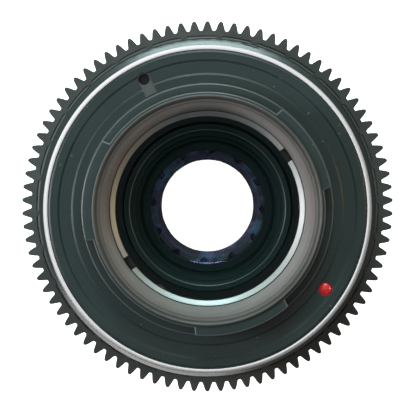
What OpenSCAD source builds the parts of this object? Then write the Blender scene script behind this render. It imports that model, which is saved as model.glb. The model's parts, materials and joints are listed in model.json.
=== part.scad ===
// Manual cinema prime lens, standing on its front rim with the camera mount upwards.
// Sizes are in millimetres. The optical axis is Z, and the front rim lies in the plane z = 0.
// Angles run anticlockwise as seen from the camera's side, from +X.

/* [Focus gear] */
// Teeth on the follow-focus gear
gear_teeth = 86; // [86:1:92]
// Width of the gear along the axis
gear_w = 9; // [7:0.5:11]
// Small ribs in the gear's bore that grip the focus ring
gear_ribs = 30; // [24:1:36]
// Height of those ribs
rib_h = 0.4; // [0.3:0.05:0.5]

/* [Lengths along the axis] */
// Height of the front barrel
front_h = 16; // [15:0.5:20]
// Height of the focus ring
focus_h = 35.3; // [35:0.1:39]
// Height of the fixed index ring
index_h = 7.4; // [7:0.2:10]
// Height from the bottom of the aperture ring to the mount's seat
iris_h = 11.5; // [11.5:0.25:14]
// Height of the bayonet above the seat
mount_h = 5.5; // [5:0.25:7]
// Travel of the optical block from infinity to close focus
focus_travel = 8; // [6:0.5:8]
// Turn of the focus ring over that travel, in degrees
focus_turn = 180; // [120:10:180]

/* [Radii] */
// Wall of the focus ring under the gear
ring_wall = 3.3; // [3:0.1:3.6]
// Wall of the cam sleeve
cam_wall = 1.5; // [1.2:0.1:1.8]
// Wall of the main barrel
barrel_wall = 1.95; // [1.7:0.05:2.2]
// Room between the main barrel and the bayonet tube, where the aperture fork swings
arm_room = 4.15; // [3.8:0.05:4.5]
// Radius of the filter bore in the front rim
filter_r = 29; // [28:0.25:31]
// Depth of the filter bore
filter_h = 5.2; // [4:0.2:6]
// Wall of the front barrel outside the filter bore
front_wall = 4; // [3.5:0.1:5]

/* [Camera mount] */
// How far the mount's flange stands out from the main barrel
flange_over = 2.05; // [1.8:0.05:2.4]
// Width of the seat that meets the camera
seat_w = 4.25; // [3.8:0.05:4.6]
// Thickness of the flange
flange_t = 4; // [3.6:0.1:4.4]
// How far the bayonet lugs stand out from the tube
lug_out = 1.9; // [1.6:0.1:2.2]
// Thickness of the bayonet lugs
lug_t = 1.6; // [1.2:0.1:2]
// Diameter of the index bead
bead_d = 2.5; // [2:0.1:3]
// Width of the lock slot
lock_w = 2.2; // [1.8:0.1:2.6]

/* [Iris] */
// Radius of the aperture when fully open
open_r = 8.6; // [8.4:0.05:8.6]
// Turn of each blade from fully open, as drawn
blade_rest = 3.3; // [0:0.02:8]
// Thickness of a blade
blade_t = 0.06; // [0.04:0.01:0.08]
// Tilt of a blade, so that each one laps over the next all the way round
blade_tilt = 8.5; // [8:0.25:9]

/* [Hidden] */
$fn = 128;
// Radial clearance of a running fit and of a seated piece
run = 0.1;
seated = 0.05;

// Focus gear: involute teeth of the film industry's 0.8 module
gear_module = 0.8;
pressure = 20;
gear_phase = 2.07;
pitch_r = gear_module * gear_teeth / 2;
tip_r = pitch_r + gear_module;
root_r = pitch_r - 1.25 * gear_module;
base_r = pitch_r * cos(pressure);
gear_bore = root_r - 1;
focus_r = gear_bore - rib_h - seated;
grip_r = root_r - 0.4;
grip_flutes = 72;

// Heights of the outer stack
focus_z0 = front_h + 0.5;
focus_z1 = focus_z0 + focus_h;
gear_z1 = focus_z1 + 0.2;
gear_z0 = gear_z1 - gear_w;
index_z0 = gear_z1 + 0.6;
index_z1 = index_z0 + index_h;
iris_z0 = index_z1 + 0.5;
seat_z = iris_z0 + iris_h;
flange_z0 = seat_z - flange_t;
mount_z1 = seat_z + mount_h;
barrel_z0 = front_h - 7;

// Radii from the focus ring inwards
ring_bore = focus_r - ring_wall;
cam_r = ring_bore - seated;
cam_bore = cam_r - cam_wall;
barrel_r = cam_bore - run;
barrel_bore = barrel_r - barrel_wall;
block_r = barrel_bore - run;
tube_r = barrel_bore - arm_room;
neck_r = tube_r - 0.9;
cell_bore = neck_r - 2.95;
cell_r = cell_bore - run;

// Radii of the mount and of the rings round it
front_r = filter_r + front_wall;
flange_r = barrel_r + flange_over;
seat_r = flange_r - seat_w;
lug_r = tube_r + lug_out;
mount_r = tube_r + 0.5;
collar_r = lug_r + 0.2;
collar_z = seat_z + 1.2;
relief = 0.15;
index_top_r = flange_r + 1.95;
bezel_in = flange_r + 0.15;
bezel_w = 0.8;
bezel_r = bezel_in + bezel_w;
crown_r = 1.4;

// Optical block, from its front end
block_z0 = front_h - 2;
block_step_z = block_z0 + 21;
block_z1 = block_z0 + 36;

// Cam followers and their slots
follower_z = block_z0 + 16;
follower_r = 1.2;
follower_angles = [90, 210, 330];
slot_half = follower_r + 0.15;
cam_slope = focus_turn / focus_travel;

// Lens elements: vertex height, radius and the radii of the two faces
first_z = block_z0 + 1.5;
first_r = block_r - 4.4;
first_front = 50;
first_t = 6;
second_z = first_z + first_t + 1;
second_r = first_r - 3.05;
second_front = 32;
second_back = 60;
second_t = 4;
third_z = block_z0 + 17;
third_r = second_r - 4;
third_front = 80;
third_back = 22;
third_t = 2;
rear_z = block_z0 + 33;
rear_r = cell_r - 5.65;
rear_front = 70;
rear_back = 45;
rear_t = 4.5;
rear_window = rear_r - 0.37;

// Iris: blades between a fixed plate and a turning rotor
blade_count = 12;
iris_phase = 10;
iris_z = block_z0 + 28;
plate_z0 = iris_z - 3.4;
plate_z1 = iris_z - 2.2;
rotor_z0 = iris_z + 2.1;
rotor_z1 = iris_z + 4.1;
wall_in = cell_r - 1.35;
wall_z1 = iris_z + 5.1;
iris_window = open_r + 0.2;
pivot_r = wall_in - 2.1;
drive_r = pivot_r - 1.1;
blade_out_r = pivot_r - 0.7;
pin_r = 0.45;
rotor_in = open_r + 0.5;
rotor_slot_half = pin_r + 0.12;
slot_land = 0.31;
pin_span = pivot_r + rotor_in + rotor_slot_half + slot_land;
drive_angle = acos((pivot_r * pivot_r + drive_r * drive_r - pin_span * pin_span) / (2 * pivot_r * drive_r));
rotor_r = wall_in - 0.15;
blade_sweep = 22.5;
drive_ratio = 2.1;

// Aperture ring, its fork and the turn it makes about the drawn place
arm_angle = 57.5;
turn_open = drive_ratio * blade_rest;
turn_close = drive_ratio * (blade_sweep - blade_rest);
arm_in = tube_r + arm_room * 0.075;
arm_out = tube_r + arm_room * 0.6;
arm_half = 8.5;
foot_half = 5;
bridge_z0 = iris_z0 + 0.3;
bridge_z1 = bridge_z0 + 2;
foot_z1 = flange_z0 - 0.8;
foot_in = barrel_r + 0.15;
foot_out = foot_in + 1.45;
arm_screw_z = foot_z1 - 0.8;
drive_pin_r = 0.75;
drive_pin_z = (rotor_z0 + rotor_z1) / 2;
fork_z0 = drive_pin_z - drive_pin_r - focus_travel - 0.4;

// Mount details
bead_angle = 326;
bead_at = seat_r + seat_w * 0.275;
lock_angle = 116;
lock_end = seat_r + seat_w * 0.42;
groove_at = seat_r + seat_w * 0.52;
lug_spans = [[11, 53], [147, 193.5], [265, 309.5]];
spanner_angles = [34, 215];
throat_top_r = tube_r - 0.9;
throat_low_r = tube_r - 2.85;
tube_z0 = iris_z0 + 0.5;
throat_z0 = tube_z0 + 3.5;
spigot_z0 = bridge_z1 + 1.2;

// Radial screws: angle of the first one, height and number
screw_count = 3;
front_screw_z = front_h - 3.5;
front_screw_from = 30;
index_screw_z = index_z0 + index_h / 2;
index_screw_from = 75;
mount_screw_z = (spigot_z0 + flange_z0) / 2 + 0.2;
mount_screw_from = 140;
cam_screw_z = (gear_z0 + gear_z1) / 2;
cam_screw_from = 0;
cell_screw_at = (cell_bore + neck_r) / 2 - 0.1;
cell_rim_h = 9.5;
rear_ring_h = 1.35;
grip_from = 7.6;
screw_r = 1;
head_r = 1.7;
stop_angle = 200;
stop_at = (ring_bore + focus_r) / 2;
stop_r = 0.9;

// Colours seen in the photograph
c_gear = [0.2, 0.24, 0.24];
c_body = [0.16, 0.2, 0.2];
c_black = [0.06, 0.08, 0.08];
c_grey = [0.45, 0.45, 0.43];
c_bright = [0.85, 0.86, 0.86];
c_steel = [0.6, 0.6, 0.58];
c_brass = [0.45, 0.34, 0.22];
c_glass = [0.75, 0.82, 0.9, 0.4];
c_blade = [0.12, 0.15, 0.2];
c_red = [0.8, 0.14, 0.17];
c_rubber = [0.1, 0.11, 0.11];

// Point at a radius and an angle
function polar(r, a) = [r * cos(a), r * sin(a)];

// A flat vector turned by an angle
function turned_by(v, a) = [v[0] * cos(a) - v[1] * sin(a), v[0] * sin(a) + v[1] * cos(a)];

// Depth of a spherical face of radius big at the distance r from the axis
function sag(big, r) = big - sqrt(big * big - r * r);

// Involute of the gear's base circle, in degrees, and half the tooth's angle at a radius
function involute(a) = tan(a) * 180 / PI - a;
function half_tooth(r) = 90 / gear_teeth + involute(pressure) - involute(acos(base_r / r));

// Ring between two radii and two heights
module ring(r_in, r_out, z0, z1) {
    rotate_extrude()
        translate([r_in, z0])
            square([r_out - r_in, z1 - z0]);
}

// Part of a ring between two angles
module arc_band(r_in, r_out, z0, z1, a0, a1) {
    rotate([0, 0, a0])
        rotate_extrude(angle = a1 - a0)
            translate([r_in, z0])
                square([r_out - r_in, z1 - z0]);
}

// Cylinder lying along a radius
module spoke(angle, z, r, from, to) {
    rotate([0, 0, angle])
        translate([from, 0, z])
            rotate([0, 90, 0])
                cylinder(r = r, h = to - from);
}

// The same spoke at equal steps round the axis
module spokes(first, z, r, from, to) {
    for (i = [0 : screw_count - 1])
        spoke(first + i * 360 / screw_count, z, r, from, to);
}

// Radial screws with a sunk head and a hexagon socket
module radial_screws(first, z, tip, head, top) {
    for (i = [0 : screw_count - 1])
        difference() {
            union() {
                spoke(first + i * 360 / screw_count, z, screw_r, tip, top);
                spoke(first + i * 360 / screw_count, z, head_r, head, top);
            }
            rotate([0, 0, first + i * 360 / screw_count])
                translate([top - 0.6, 0, z])
                    rotate([0, 90, 0])
                        cylinder(r = 0.8, h = 1, $fn = 6);
        }
}

// Room for those screws
module radial_screw_holes(first, z, tip, head, top) {
    spokes(first, z, screw_r + seated, tip - 0.2, top + 3);
    spokes(first, z, head_r + seated, head - seated, top + 3);
}

module front_barrel_screw_places(holes) {
    tip = barrel_bore + 0.4;
    head = front_r - 1.6;
    if (holes)
        radial_screw_holes(front_screw_from, front_screw_z, tip, head, front_r - 0.3);
    else
        radial_screws(front_screw_from, front_screw_z, tip, head, front_r - 0.3);
}

module index_ring_screw_places(holes) {
    tip = barrel_bore + 0.4;
    top = (focus_r + index_top_r) / 2 - 0.4;
    if (holes)
        radial_screw_holes(index_screw_from, index_screw_z, tip, top - 1.2, top);
    else
        radial_screws(index_screw_from, index_screw_z, tip, top - 1.2, top);
}

module cam_screw_places(holes) {
    tip = cam_bore + 0.3;
    top = focus_r - 0.2;
    if (holes)
        radial_screw_holes(cam_screw_from, cam_screw_z, tip, top - 1, top);
    else
        radial_screws(cam_screw_from, cam_screw_z, tip, top - 1, top);
}

// Front barrel: rim, filter bore, inner cone and the socket for the main barrel
module front_barrel() {
    color(c_body)
        difference() {
            rotate_extrude()
                polygon([
                    [filter_r, 0], [front_r - 0.8, 0], [front_r, 0.8], [front_r, front_h - 0.8],
                    [front_r - 0.8, front_h], [barrel_r + seated, front_h],
                    [barrel_r + seated, barrel_z0], [barrel_bore + 0.35, barrel_z0],
                    [filter_r - 0.8, filter_h], [filter_r, filter_h]
                ]);
            front_barrel_screw_places(true);
        }
}

module front_barrel_screws() {
    color(c_steel)
        front_barrel_screw_places(false);
}

// Straight slots that keep the block from turning
module straight_slots() {
    for (a = follower_angles)
        rotate([0, 0, a])
            translate([barrel_bore - 1, -slot_half, follower_z - focus_travel - slot_half])
                cube([barrel_wall + 2, 2 * slot_half, focus_travel + 2 * slot_half]);
}

module main_barrel() {
    color(c_black)
        difference() {
            ring(barrel_bore, barrel_r, barrel_z0 + seated, flange_z0 - seated);
            straight_slots();
            arc_band(barrel_bore - 1, barrel_r + 1, bridge_z0 - 0.3, bridge_z1 + 0.3,
                arm_angle - turn_open - foot_half - 2.5, arm_angle + turn_close + foot_half + 2.5);
            front_barrel_screw_places(true);
            index_ring_screw_places(true);
            spokes(mount_screw_from, mount_screw_z, screw_r + seated, barrel_bore - 2, barrel_r + 1);
        }
}

// Fixed ring that carries the index marks for both scales
module index_ring() {
    color(c_body)
        difference() {
            rotate_extrude()
                polygon([
                    [barrel_r + seated, index_z0], [focus_r - 0.05, index_z0],
                    [index_top_r, index_z1 - 0.3], [index_top_r - 0.3, index_z1],
                    [barrel_r + seated, index_z1]
                ]);
            index_ring_screw_places(true);
            rotate([0, 0, stop_angle])
                translate([stop_at, 0, index_z0 - 1])
                    cylinder(r = stop_r + seated, h = 4);
        }
}

module index_ring_screws() {
    color(c_steel)
        index_ring_screw_places(false);
}

// Pin that stops the focus ring at both ends of its turn
module focus_stop_pin() {
    color(c_steel)
        rotate([0, 0, stop_angle])
            translate([stop_at, 0, focus_z1 - 1.6])
                cylinder(r = stop_r, h = index_z0 + 2.9 - focus_z1 + 1.6);
}

module focus_thrust_ring() {
    color(c_brass)
        ring(cam_bore, cam_r, focus_z1 + 0.1, index_z0 - seated);
}

// One lug of the bayonet with slanted ends
module lug(span) {
    slant = 2.5;
    a0 = span[0];
    a1 = span[1];
    far = lug_r * 1.3;
    linear_extrude(lug_t)
        intersection() {
            difference() {
                circle(lug_r);
                circle(tube_r - 0.3);
            }
            polygon([
                [0, 0], polar(tube_r - 1, a0 - slant), polar(far, a0 + slant), polar(far, (a0 + a1) / 2),
                polar(far, a1 - slant), polar(tube_r - 1, a1 + slant)
            ]);
        }
}

// Flange with a relieved seat, locating collar, bayonet tube and the spigot inside the main barrel
module mount_flange() {
    color(c_body)
        difference() {
            union() {
                rotate_extrude()
                    polygon([
                        [throat_low_r + 0.05, tube_z0], [tube_r, tube_z0], [tube_r, flange_z0],
                        [barrel_bore - 1.25, flange_z0], [barrel_bore - 1.25, spigot_z0],
                        [barrel_bore - seated, spigot_z0], [barrel_bore - seated, flange_z0],
                        [flange_r, flange_z0], [flange_r, seat_z - 0.18], [flange_r - 0.35, seat_z],
                        [groove_at + 0.4, seat_z], [groove_at, seat_z - relief],
                        [seat_r + 0.1, seat_z - relief], [seat_r - 0.25, seat_z],
                        [collar_r, seat_z], [collar_r, collar_z], [mount_r, collar_z],
                        [mount_r, mount_z1 - 0.5], [tube_r - 0.6, mount_z1 - 0.5],
                        [tube_r - 0.6, throat_z0 - seated], [throat_low_r + 0.05, throat_z0 - seated]
                    ]);
                translate([0, 0, mount_z1 - 0.5 - lug_t])
                    for (span = lug_spans)
                        lug(span);
            }
            rotate([0, 0, lock_angle]) {
                translate([seat_r - 1.4, -lock_w / 2, seat_z - 1.1])
                    cube([lock_end - seat_r + 1.4, lock_w, 2]);
                translate([lock_end, 0, seat_z - 1.1])
                    cylinder(d = lock_w, h = 2);
                translate([lock_end - 0.2, 0, seat_z - 2.8])
                    cylinder(d = lock_w - 0.2, h = 4);
            }
            rotate([0, 0, bead_angle])
                translate([bead_at, 0, seat_z - 1.1])
                    cylinder(d = bead_d + 0.04, h = 2);
            spokes(mount_screw_from, mount_screw_z, screw_r + seated, barrel_bore - 2, barrel_r + 1);
        }
}

module mount_set_screws() {
    color(c_steel)
        for (i = [0 : screw_count - 1])
            difference() {
                spoke(mount_screw_from + i * 360 / screw_count, mount_screw_z, screw_r,
                    barrel_bore - 1.1, barrel_r - 0.15);
                rotate([0, 0, mount_screw_from + i * 360 / screw_count])
                    translate([barrel_r - 0.75, 0, mount_screw_z])
                        rotate([0, 90, 0])
                            cylinder(r = 0.55, h = 1, $fn = 6);
            }
}

// Domed bead that marks how the lens goes into the camera
module index_bead() {
    dome_r = 1.9;
    color(c_red)
        rotate([0, 0, bead_angle])
            translate([bead_at, 0, seat_z])
                intersection() {
                    translate([0, 0, -1.05])
                        cylinder(d = bead_d, h = 1.05);
                    translate([0, 0, -0.03 - dome_r])
                        sphere(dome_r);
                }
}

// Grey cone that lines the bayonet tube
module throat_sleeve() {
    color(c_grey)
        rotate_extrude()
            polygon([
                [throat_low_r, throat_z0], [tube_r - 0.65, throat_z0], [tube_r - 0.65, mount_z1 - 0.45],
                [tube_r, mount_z1 - 0.45], [tube_r, mount_z1 - 0.1], [tube_r - 0.1, mount_z1],
                [throat_top_r + 0.5, mount_z1], [throat_top_r, mount_z1 - 0.6]
            ]);
}

// Bright ring with a sloped face and two spanner notches below the cone
module throat_ring() {
    color(c_bright)
        difference() {
            rotate_extrude()
                polygon([
                    [throat_low_r - 0.95, tube_z0 + 0.2], [throat_low_r, tube_z0 + 0.2],
                    [throat_low_r, throat_z0 - 0.1], [throat_low_r - 0.95, throat_z0 - 0.55]
                ]);
            for (a = spanner_angles)
                rotate([0, 0, a])
                    translate([throat_low_r - 2, -1.3, throat_z0 - 2.6])
                        cube([3, 2.6, 4]);
        }
}

module focus_ring() {
    groove = asin((stop_r + 0.2) / stop_at);
    color(c_body)
        difference() {
            rotate_extrude()
                polygon([
                    [ring_bore, focus_z0], [focus_r - 0.4, focus_z0], [focus_r, focus_z0 + 0.4],
                    [focus_r, focus_z1 - 0.4], [focus_r - 0.4, focus_z1], [ring_bore, focus_z1]
                ]);
            arc_band(stop_at - stop_r - 0.2, stop_at + stop_r + 0.2, focus_z1 - 2, focus_z1 + 1,
                stop_angle - focus_turn - groove, stop_angle + groove);
            cam_screw_places(true);
        }
}

// Fluted grip sleeve on the focus ring
module focus_grip() {
    color(c_rubber)
        translate([0, 0, focus_z0 + grip_from])
            linear_extrude(gear_z0 - 0.5 - focus_z0 - grip_from)
                difference() {
                    circle(grip_r);
                    circle(focus_r + 0.02);
                    for (i = [0 : grip_flutes - 1])
                        rotate(i * 360 / grip_flutes)
                            translate([grip_r + 0.25, 0])
                                circle(0.75, $fn = 32);
                }
}

module focus_scale_ring() {
    color(c_body)
        ring(focus_r + 0.02, focus_r + 0.6, focus_z0 + 0.6, focus_z0 + 7);
}

// Outline of one tooth: up one flank and down the other, with the tip rounded off
function flank(side) = [for (k = [0 : 4])
    let (r = root_r + (tip_r - root_r) * [0, 0.3, 0.6, 0.9, 1][k])
    [r, side * half_tooth(r) * (k == 4 ? 0.62 : 1)]];
function tooth() = let (up = flank(-1), down = flank(1))
    concat(up, [for (k = [4 : -1 : 0]) down[k]]);

module focus_gear() {
    profile = tooth();
    color(c_gear)
        translate([0, 0, gear_z0])
            linear_extrude(gear_w)
                union() {
                    difference() {
                        polygon([for (i = [0 : gear_teeth - 1])
                            for (p = profile)
                                polar(p[0], p[1] + gear_phase + i * 360 / gear_teeth)]);
                        circle(gear_bore);
                    }
                    for (i = [0 : gear_ribs - 1])
                        rotate(2 + i * 360 / gear_ribs)
                            polygon([
                                [gear_bore - rib_h, -0.4], [gear_bore + 0.2, -0.75],
                                [gear_bore + 0.2, 0.75], [gear_bore - rib_h, 0.4]
                            ]);
                }
}

// Helical slot in which one follower rides, as a twisted wedge trimmed at both ends
module cam_slot(angle) {
    rise = focus_travel + 2 * slot_half;
    wide = slot_half * cam_slope;
    low_z = follower_z - focus_travel - slot_half;
    end = asin(slot_half / cam_bore);
    arc = [for (k = [0 : 6]) wide * (k / 3 - 1)];
    intersection() {
        translate([0, 0, low_z])
            rotate([0, 0, angle - focus_turn - wide])
                linear_extrude(height = rise, twist = -cam_slope * rise, slices = 40, $fn = 14)
                    polygon(concat(
                        [for (a = arc) polar(cam_r + 1.5, a)],
                        [for (k = [6 : -1 : 0]) polar(cam_bore - 0.8, arc[k])]));
        arc_band(cam_bore - 0.5, cam_r + 0.5, low_z - 1, low_z + rise + 1,
            angle - focus_turn - end, angle + end);
    }
}

// Sleeve inside the focus ring whose helical slots drive the optical block
module focus_cam() {
    color(c_brass)
        difference() {
            ring(cam_bore, cam_r, focus_z0 + 0.5, focus_z1);
            for (a = follower_angles)
                cam_slot(a);
            cam_screw_places(true);
        }
}

module focus_cam_screws() {
    color(c_steel)
        cam_screw_places(false);
}

// Aperture ring with a pocket for the fork's foot and a sunk place for its screw
module iris_ring() {
    color(c_body)
        difference() {
            rotate_extrude()
                polygon([
                    [barrel_r + run, iris_z0], [index_top_r - 0.4, iris_z0], [index_top_r - 0.1, iris_z0 + 0.3],
                    [index_top_r - 0.2, seat_z - 3.5], [bezel_r, seat_z - 1], [bezel_in, seat_z - 1],
                    [bezel_in, flange_z0 - 0.3], [barrel_r + run, flange_z0 - 0.3]
                ]);
            arc_band(barrel_r - 0.5, foot_out + 0.1, iris_z0 - 1, foot_z1 + 0.2,
                arm_angle - foot_half - 0.3, arm_angle + foot_half + 0.3);
            spoke(arm_angle, arm_screw_z, screw_r + seated, barrel_r, index_top_r + 1);
            spoke(arm_angle, arm_screw_z, 2.2, index_top_r - 1.4, index_top_r + 1);
        }
}

// Bright crowned edge of the aperture ring
module iris_bezel() {
    color(c_bright)
        rotate_extrude()
            intersection() {
                translate([bezel_in, seat_z - 1])
                    square([bezel_w, 1]);
                translate([bezel_in + bezel_w / 2, seat_z - 0.1 - crown_r])
                    circle(crown_r);
            }
}

// Fork that hangs from the aperture ring and turns the rotor wherever the block stands
module iris_arm() {
    color(c_steel)
        difference() {
            union() {
                arc_band(arm_in, arm_out, fork_z0, bridge_z1, arm_angle - arm_half, arm_angle + arm_half);
                arc_band(arm_in, foot_out, bridge_z0, bridge_z1, arm_angle - foot_half, arm_angle + foot_half);
                arc_band(foot_in, foot_out, bridge_z0, foot_z1, arm_angle - foot_half, arm_angle + foot_half);
            }
            rotate([0, 0, arm_angle])
                translate([arm_in - 1, -drive_pin_r - 0.1, fork_z0 - 1])
                    cube([4.2, 2 * drive_pin_r + 0.2, focus_travel + 4]);
            spoke(arm_angle, arm_screw_z, screw_r + seated, barrel_r - 0.5, index_top_r);
        }
}

module iris_arm_screw() {
    color(c_brass)
        difference() {
            spoke(arm_angle, arm_screw_z, screw_r, foot_in + 0.1, index_top_r - 1.5);
            rotate([0, 0, arm_angle])
                translate([index_top_r - 2.1, -0.15, arm_screw_z - 1.2])
                    cube([1, 0.3, 2.4]);
        }
}

// Tube that carries all the glass and slides in the main barrel
module lens_tube() {
    second_lip = second_z + second_t + sag(second_back, second_r) + seated;
    third_seat = third_z - sag(third_front, third_r) - seated;
    color(c_black)
        difference() {
            rotate_extrude()
                polygon([
                    [first_r + 0.15, block_z0], [block_r, block_z0], [block_r, block_step_z],
                    [neck_r, block_step_z], [neck_r, block_z1], [cell_bore, block_z1],
                    [cell_bore, plate_z0 - seated], [third_r + 0.12, plate_z0 - seated],
                    [third_r + 0.12, third_seat], [third_r - 0.7, third_seat], [third_r - 0.7, second_lip],
                    [second_r + 0.15, second_lip], [second_r + 0.15, first_z + first_t + seated],
                    [first_r + 0.15, first_z + first_t + seated]
                ]);
            for (a = follower_angles)
                spoke(a, follower_z, follower_r + 0.02, block_r - 3, block_r + 1);
            arc_band(cell_bore - 1, neck_r + 1, drive_pin_z - drive_pin_r - 0.35,
                drive_pin_z + drive_pin_r + 0.35, arm_angle - turn_open - 6, arm_angle + turn_close + 6);
            for (i = [0 : screw_count - 1])
                rotate([0, 0, i * 360 / screw_count])
                    translate([cell_screw_at, 0, block_z1 - 3.6])
                        cylinder(r = 0.85, h = 5);
        }
}

// Pins on the block that ride in the straight and the helical slots
module cam_followers() {
    color(c_steel)
        for (a = follower_angles)
            spoke(a, follower_z, follower_r, block_r - 2.9, cam_r - 0.2);
}

module front_retaining_ring() {
    r_in = first_r - 1.2;
    top = first_z + sag(first_front, r_in) - 0.1;
    color(c_black)
        difference() {
            ring(r_in, first_r + 0.1, top - 2.2, top);
            for (a = [0, 180])
                rotate([0, 0, a])
                    translate([r_in - 1, -1, top - 3])
                        cube([3, 2, 1.8]);
        }
}

// Front glass, bulging towards the subject and flat behind
module front_element() {
    color(c_glass)
        intersection() {
            translate([0, 0, first_z + first_front])
                sphere(first_front);
            translate([0, 0, first_z - 1])
                cylinder(r = first_r, h = first_t + 1);
        }
}

module front_spacer() {
    r_in = second_r - 0.95;
    color(c_black)
        ring(r_in, second_r + 0.1, first_z + first_t + seated,
            second_z + sag(second_front, r_in) - seated);
}

// Second glass, a meniscus
module second_element() {
    color(c_glass)
        difference() {
            intersection() {
                translate([0, 0, second_z + second_front])
                    sphere(second_front);
                translate([0, 0, second_z - 1])
                    cylinder(r = second_r, h = second_t + sag(second_back, second_r) + 1);
            }
            translate([0, 0, second_z + second_t + second_back])
                sphere(second_back);
        }
}

// Third glass, hollow on both sides
module third_element() {
    low = third_z - sag(third_front, third_r);
    high = third_z + third_t + sag(third_back, third_r);
    color(c_glass)
        difference() {
            translate([0, 0, low])
                cylinder(r = third_r, h = high - low);
            translate([0, 0, third_z - third_front])
                sphere(third_front);
            translate([0, 0, third_z + third_t + third_back])
                sphere(third_back);
        }
}

module third_element_ring() {
    low = third_z + third_t + sag(third_back, third_r) + seated;
    color(c_black)
        ring(third_r - 0.8, third_r + 0.07, low, plate_z0 - 0.1);
}

// Cup of the iris: a plate with the blades' pivot holes and a wall round the rotor
module iris_housing() {
    color(c_black)
        difference() {
            rotate_extrude()
                polygon([
                    [iris_window, plate_z0], [cell_r, plate_z0], [cell_r, wall_z1], [wall_in, wall_z1],
                    [wall_in, plate_z1], [iris_window, plate_z1]
                ]);
            for (i = [0 : blade_count - 1])
                rotate([0, 0, iris_phase + i * 360 / blade_count])
                    translate([pivot_r, 0, plate_z0 - 1])
                        cylinder(r = pin_r + 0.07, h = 4, $fn = 32);
            arc_band(wall_in - 1, cell_r + 1, drive_pin_z - drive_pin_r - 0.35,
                drive_pin_z + drive_pin_r + 0.35, arm_angle - turn_open - 6, arm_angle + turn_close + 6);
        }
}

module iris_retaining_ring() {
    color(c_black)
        ring(wall_in - 1.8, wall_in - seated, rotor_z1 + 0.15, wall_z1 - 0.1);
}

// Rear cell: a stepped black funnel round the rear glass
module rear_cell() {
    lip_z = rear_z + sag(rear_front, rear_r - 0.7) - seated;
    ring_z = rear_z + rear_t - sag(rear_back, rear_r) + 0.1;
    rim_z = block_z1 + cell_rim_h;
    rim_r = wall_in;
    color(c_black)
        difference() {
            rotate_extrude()
                polygon([
                    [rear_r - 0.7, wall_z1 + 0.1], [cell_r, wall_z1 + 0.1], [cell_r, block_z1 + seated],
                    [neck_r - 0.4, block_z1 + seated], [neck_r - 0.4, block_z1 + 1.2],
                    [rim_r + 0.6, block_z1 + 1.2], [rim_r, rim_z], [rim_r - 1.05, rim_z], [rim_r - 1.4, rim_z - 2],
                    [rim_r - 2, rim_z - 2], [rim_r - 2.3, rim_z - 4], [rim_r - 2.8, rim_z - 4],
                    [rim_r - 3, rim_z - 6],
                    [rear_r + 1.15, rim_z - 6], [rear_r + 1.15, ring_z], [rear_r + 0.1, ring_z],
                    [rear_r + 0.1, lip_z], [rear_r - 0.7, lip_z]
                ]);
            for (i = [0 : screw_count - 1])
                rotate([0, 0, i * 360 / screw_count])
                    translate([cell_screw_at, 0, block_z1 - 1])
                        cylinder(r = 0.85, h = 5);
        }
}

module rear_cell_screws() {
    color(c_steel)
        for (i = [0 : screw_count - 1])
            rotate([0, 0, i * 360 / screw_count])
                translate([cell_screw_at, 0, 0])
                    difference() {
                        union() {
                            translate([0, 0, block_z1 - 3.5])
                                cylinder(r = 0.8, h = 4.8);
                            translate([0, 0, block_z1 + 1.25])
                                cylinder(r = 1.15, h = 0.7);
                        }
                        translate([-1.5, -0.15, block_z1 + 1.6])
                            cube([3, 0.3, 1]);
                    }
}

// Rear glass, bulging on both sides
module rear_element() {
    color(c_glass)
        intersection() {
            translate([0, 0, rear_z + rear_front])
                sphere(rear_front);
            translate([0, 0, rear_z + rear_t - rear_back])
                sphere(rear_back);
            translate([0, 0, rear_z - 1])
                cylinder(r = rear_r, h = rear_t + 2);
        }
}

module rear_cell_ring() {
    low = rear_z + rear_t - sag(rear_back, rear_window) + 0.1;
    color(c_black)
        ring(rear_window, rear_r + 1.1, low, low + rear_ring_h);
}

// Place of a blade's drive pin after the blade has turned by phi from fully open
function drive_at(phi) = [pivot_r, 0]
    + turned_by(polar(drive_r, drive_angle) - [pivot_r, 0], phi);

// The same place seen from the rotor, which turns drive_ratio times as far
function slot_at(phi) = turned_by(drive_at(phi), -drive_ratio * (phi - blade_rest));

// Curved slot along which that pin runs, as two offset edges with round ends
module rotor_slot() {
    steps = 8;
    from = -0.4;
    step = (blade_sweep + 0.8) / steps;
    mids = [for (j = [0 : steps]) slot_at(from + j * step)];
    sides = [for (j = [0 : steps])
        let (d = slot_at(from + j * step + 0.1) - slot_at(from + j * step - 0.1))
        turned_by(d, 90) * rotor_slot_half / norm(d)];
    polygon(concat(
        [for (j = [0 : steps]) mids[j] + sides[j]],
        [for (j = [steps : -1 : 0]) mids[j] - sides[j]]));
    for (j = [0, steps])
        translate(mids[j])
            circle(rotor_slot_half + 0.01, $fn = 48);
}

// Ring that turns all the blades at once
module iris_rotor() {
    color(c_black)
        difference() {
            translate([0, 0, rotor_z0])
                linear_extrude(rotor_z1 - rotor_z0)
                    difference() {
                        circle(rotor_r);
                        circle(rotor_in);
                        for (i = [0 : blade_count - 1])
                            rotate(iris_phase + i * 360 / blade_count)
                                rotor_slot();
                    }
            spoke(arm_angle, drive_pin_z, drive_pin_r + 0.02, rotor_r - 1.9, rotor_r + 1);
        }
}

module iris_drive_pin() {
    color(c_steel)
        spoke(arm_angle, drive_pin_z, drive_pin_r, rotor_r - 1.85, arm_out - 0.1);
}

// Flat outline of a blade fully open: a crescent with slanted ends and a pad at each pin
module blade_outline() {
    near = open_r - 0.6;
    far = blade_out_r * 2;
    intersection() {
        difference() {
            circle(blade_out_r);
            circle(open_r);
        }
        polygon([
            polar(near, 20), polar(far, -14), polar(far, 30), polar(far, 80), polar(far, drive_angle),
            polar(far, drive_angle + 16), polar(near, drive_angle - 18)
        ]);
    }
    translate([pivot_r, 0])
        circle(1.1, $fn = 48);
    translate(polar(drive_r, drive_angle))
        circle(1, $fn = 48);
}

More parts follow.
